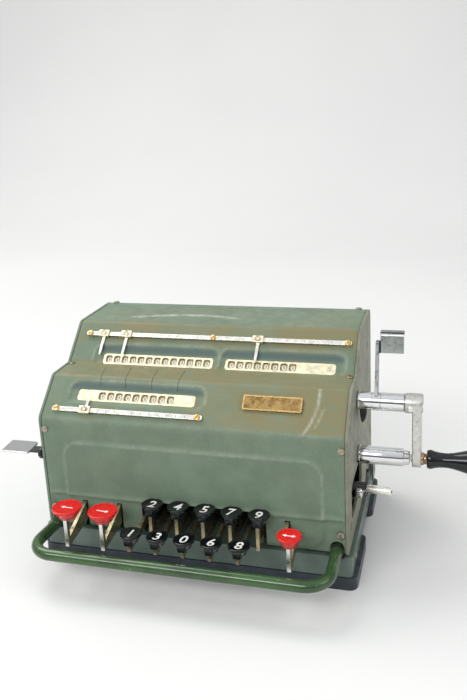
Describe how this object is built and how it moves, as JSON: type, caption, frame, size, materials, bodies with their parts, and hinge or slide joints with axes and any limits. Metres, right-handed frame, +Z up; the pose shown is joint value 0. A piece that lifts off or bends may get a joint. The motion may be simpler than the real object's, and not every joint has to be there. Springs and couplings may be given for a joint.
{
  "type": "mechanical adding machine",
  "caption": "Hand-cranked desktop adding machine in a stepped painted case, with digit keys, shift keys, register windows, clearing levers and a looped front bar.",
  "frame": {"origin": "on the table under the middle of the bounding box, at the undersides of the rubber feet", "axes": "+X towards the crank side (the operator's right), +Y from the guard bar towards the back, +Z up"},
  "size_m": [0.3684, 0.1903, 0.1648],
  "materials": {
    "case_paint": "grey-green wrinkle paint, worn at the edges",
    "base_paint": "grey-green semi-gloss paint",
    "bar_enamel": "glossy green enamel",
    "foot_rubber": "dark blue-grey rubber",
    "chrome": "polished chrome plate",
    "steel": "worn nickel-plated steel",
    "brass": "tarnished brass",
    "black_plastic": "glossy black moulded plastic",
    "red_plastic": "glossy red moulded plastic",
    "wheel_enamel": "dark brown enamel with light numerals"
  },
  "bodies": {
    "chassis": {"base_frame": "base_paint", "foot_front": "foot_rubber", "foot_rear": "foot_rubber", "guard_bar": "bar_enamel", "front_cover": "case_paint", "rear_cover": "case_paint", "side_plate_left": "case_paint", "side_plate_right": "case_paint", "product_window": "brass", "counter_window": "brass", "setting_window": "brass", "upper_rail": "steel", "lower_rail": "steel", "name_plate": "brass", "register_shaft": "steel", "setting_shaft": "steel", "key_shaft": "steel", "crank_sleeve": "chrome", "stop_post": "chrome"},
    "crank": {"crank_shaft": "steel", "crank_arm": "steel"},
    "handle": {"handle_grip": "black_plastic"},
    "rotor": {"rotor_shaft": "steel"},
    "drum": {"rotor_drum": "brass"},
    "product_register": {"product_wheels": "wheel_enamel"},
    "counter_register": {"counter_wheels": "wheel_enamel"},
    "setting_register": {"setting_wheels": "wheel_enamel"},
    "marker_product_left": {"slider_product_left": "brass"},
    "marker_product_right": {"slider_product_right": "brass"},
    "marker_counter": {"slider_counter": "brass"},
    "marker_setting": {"slider_setting": "brass"},
    "product_clear": {"product_clear_lever": "steel"},
    "setting_clear": {"setting_clear_lever": "steel"},
    "counter_clear": {"counter_clear_lever": "steel"},
    "key_0": {"key_cap_0": "black_plastic", "key_lever_0": "steel"},
    "key_1": {"key_cap_1": "black_plastic", "key_lever_1": "steel"},
    "key_2": {"key_cap_2": "black_plastic", "key_lever_2": "steel"},
    "key_3": {"key_cap_3": "black_plastic", "key_lever_3": "steel"},
    "key_4": {"key_cap_4": "black_plastic", "key_lever_4": "steel"},
    "key_5": {"key_cap_5": "black_plastic", "key_lever_5": "steel"},
    "key_6": {"key_cap_6": "black_plastic", "key_lever_6": "steel"},
    "key_7": {"key_cap_7": "black_plastic", "key_lever_7": "steel"},
    "key_8": {"key_cap_8": "black_plastic", "key_lever_8": "steel"},
    "key_9": {"key_cap_9": "black_plastic", "key_lever_9": "steel"},
    "shift_key_left": {"shift_cap_left": "red_plastic", "shift_lever_left": "chrome"},
    "shift_key_right": {"shift_cap_right": "red_plastic", "shift_lever_right": "chrome"},
    "shift_key_sign": {"shift_cap_sign": "red_plastic", "shift_lever_sign": "chrome"}
  },
  "joints": [
    {"name": "crank_turn", "type": "hinge", "parent": "chassis", "child": "crank", "pos_m": [0.06075, 0.00545, 0.1167], "axis": [1, 0, 0], "continuous": true},
    {"name": "handle_spin", "type": "hinge", "parent": "crank", "child": "handle", "pos_m": [0.12355, 0.00545, 0.075], "axis": [1, 0, 0], "continuous": true},
    {"name": "rotor_turn", "type": "hinge", "parent": "chassis", "child": "rotor", "pos_m": [0.06075, 0.01285, 0.0918], "axis": [1, 0, 0], "continuous": true},
    {"name": "drum_shift", "type": "slide", "parent": "rotor", "child": "drum", "axis": [1, 0, 0], "range_m": [0, 0.0528]},
    {"name": "product_wheels_turn", "type": "hinge", "parent": "chassis", "child": "product_register", "pos_m": [-0.11955, 0.01718, 0.12898], "axis": [1, 0, 0], "continuous": true},
    {"name": "counter_wheels_turn", "type": "hinge", "parent": "chassis", "child": "counter_register", "pos_m": [-0.02125, 0.01718, 0.12898], "axis": [1, 0, 0], "continuous": true},
    {"name": "setting_wheels_turn", "type": "hinge", "parent": "chassis", "child": "setting_register", "pos_m": [-0.10825, -0.02362, 0.11526], "axis": [1, 0, 0], "continuous": true},
    {"name": "press_0", "type": "hinge", "parent": "chassis", "child": "key_0", "pos_m": [-0.03725, 0.01455, 0.0335], "axis": [1, 0, 0], "range_deg": [0, 3.4], "stiffness_Nm_per_rad": 0.5, "springref_deg": -5.73},
    {"name": "press_1", "type": "hinge", "parent": "chassis", "child": "key_1", "pos_m": [-0.03725, 0.01455, 0.0335], "axis": [1, 0, 0], "range_deg": [0, 3.4], "stiffness_Nm_per_rad": 0.5, "springref_deg": -5.73},
    {"name": "press_2", "type": "hinge", "parent": "chassis", "child": "key_2", "pos_m": [-0.03725, 0.01455, 0.0335], "axis": [1, 0, 0], "range_deg": [0, 3.4], "stiffness_Nm_per_rad": 0.5, "springref_deg": -5.73},
    {"name": "press_3", "type": "hinge", "parent": "chassis", "child": "key_3", "pos_m": [-0.03725, 0.01455, 0.0335], "axis": [1, 0, 0], "range_deg": [0, 3.4], "stiffness_Nm_per_rad": 0.5, "springref_deg": -5.73},
    {"name": "press_4", "type": "hinge", "parent": "chassis", "child": "key_4", "pos_m": [-0.03725, 0.01455, 0.0335], "axis": [1, 0, 0], "range_deg": [0, 3.4], "stiffness_Nm_per_rad": 0.5, "springref_deg": -5.73},
    {"name": "press_5", "type": "hinge", "parent": "chassis", "child": "key_5", "pos_m": [-0.03725, 0.01455, 0.0335], "axis": [1, 0, 0], "range_deg": [0, 3.4], "stiffness_Nm_per_rad": 0.5, "springref_deg": -5.73},
    {"name": "press_6", "type": "hinge", "parent": "chassis", "child": "key_6", "pos_m": [-0.03725, 0.01455, 0.0335], "axis": [1, 0, 0], "range_deg": [0, 3.4], "stiffness_Nm_per_rad": 0.5, "springref_deg": -5.73},
    {"name": "press_7", "type": "hinge", "parent": "chassis", "child": "key_7", "pos_m": [-0.03725, 0.01455, 0.0335], "axis": [1, 0, 0], "range_deg": [0, 3.4], "stiffness_Nm_per_rad": 0.5, "springref_deg": -5.73},
    {"name": "press_8", "type": "hinge", "parent": "chassis", "child": "key_8", "pos_m": [-0.03725, 0.01455, 0.0335], "axis": [1, 0, 0], "range_deg": [0, 3.4], "stiffness_Nm_per_rad": 0.5, "springref_deg": -5.73},
    {"name": "press_9", "type": "hinge", "parent": "chassis", "child": "key_9", "pos_m": [-0.03725, 0.01455, 0.0335], "axis": [1, 0, 0], "range_deg": [0, 3.4], "stiffness_Nm_per_rad": 0.5, "springref_deg": -5.73},
    {"name": "press_shift_left", "type": "hinge", "parent": "chassis", "child": "shift_key_left", "pos_m": [-0.03725, 0.01455, 0.0335], "axis": [1, 0, 0], "range_deg": [0, 3.4], "stiffness_Nm_per_rad": 0.5, "springref_deg": -5.73},
    {"name": "press_shift_right", "type": "hinge", "parent": "chassis", "child": "shift_key_right", "pos_m": [-0.03725, 0.01455, 0.0335], "axis": [1, 0, 0], "range_deg": [0, 3.4], "stiffness_Nm_per_rad": 0.5, "springref_deg": -5.73},
    {"name": "press_shift_sign", "type": "hinge", "parent": "chassis", "child": "shift_key_sign", "pos_m": [-0.03725, 0.01455, 0.0335], "axis": [1, 0, 0], "range_deg": [0, 3.4], "stiffness_Nm_per_rad": 0.5, "springref_deg": -5.73},
    {"name": "marker_product_left_slide", "type": "slide", "parent": "chassis", "child": "marker_product_left", "axis": [1, 0, 0], "range_m": [-0.0045, 0.009]},
    {"name": "marker_product_right_slide", "type": "slide", "parent": "chassis", "child": "marker_product_right", "axis": [1, 0, 0], "range_m": [-0.009, 0.0635]},
    {"name": "marker_counter_slide", "type": "slide", "parent": "chassis", "child": "marker_counter", "axis": [1, 0, 0], "range_m": [-0.0275, 0.0595]},
    {"name": "marker_setting_slide", "type": "slide", "parent": "chassis", "child": "marker_setting", "axis": [1, 0, 0], "range_m": [-0.015, 0.0775]},
    {"name": "product_clear_pull", "type": "hinge", "parent": "chassis", "child": "product_clear", "pos_m": [0.08875, 0.00545, 0.1167], "axis": [1, 0, 0], "range_deg": [0, 65], "stiffness_Nm_per_rad": 0.12, "springref_deg": -14.32},
    {"name": "setting_clear_press", "type": "hinge", "parent": "chassis", "child": "setting_clear", "pos_m": [0.06675, 0.01455, 0.0335], "axis": [1, 0, 0], "range_deg": [0, 15], "stiffness_Nm_per_rad": 0.3, "springref_deg": -11.46},
    {"name": "counter_clear_press", "type": "hinge", "parent": "chassis", "child": "counter_clear", "pos_m": [-0.15325, -0.00245, 0.0755], "axis": [1, 0, 0], "range_deg": [0, 25], "stiffness_Nm_per_rad": 0.3, "springref_deg": -11.46}
  ],
  "couplings": [
    {"joint": "rotor_turn", "follows": "crank_turn", "ratio": -1}
  ]
}
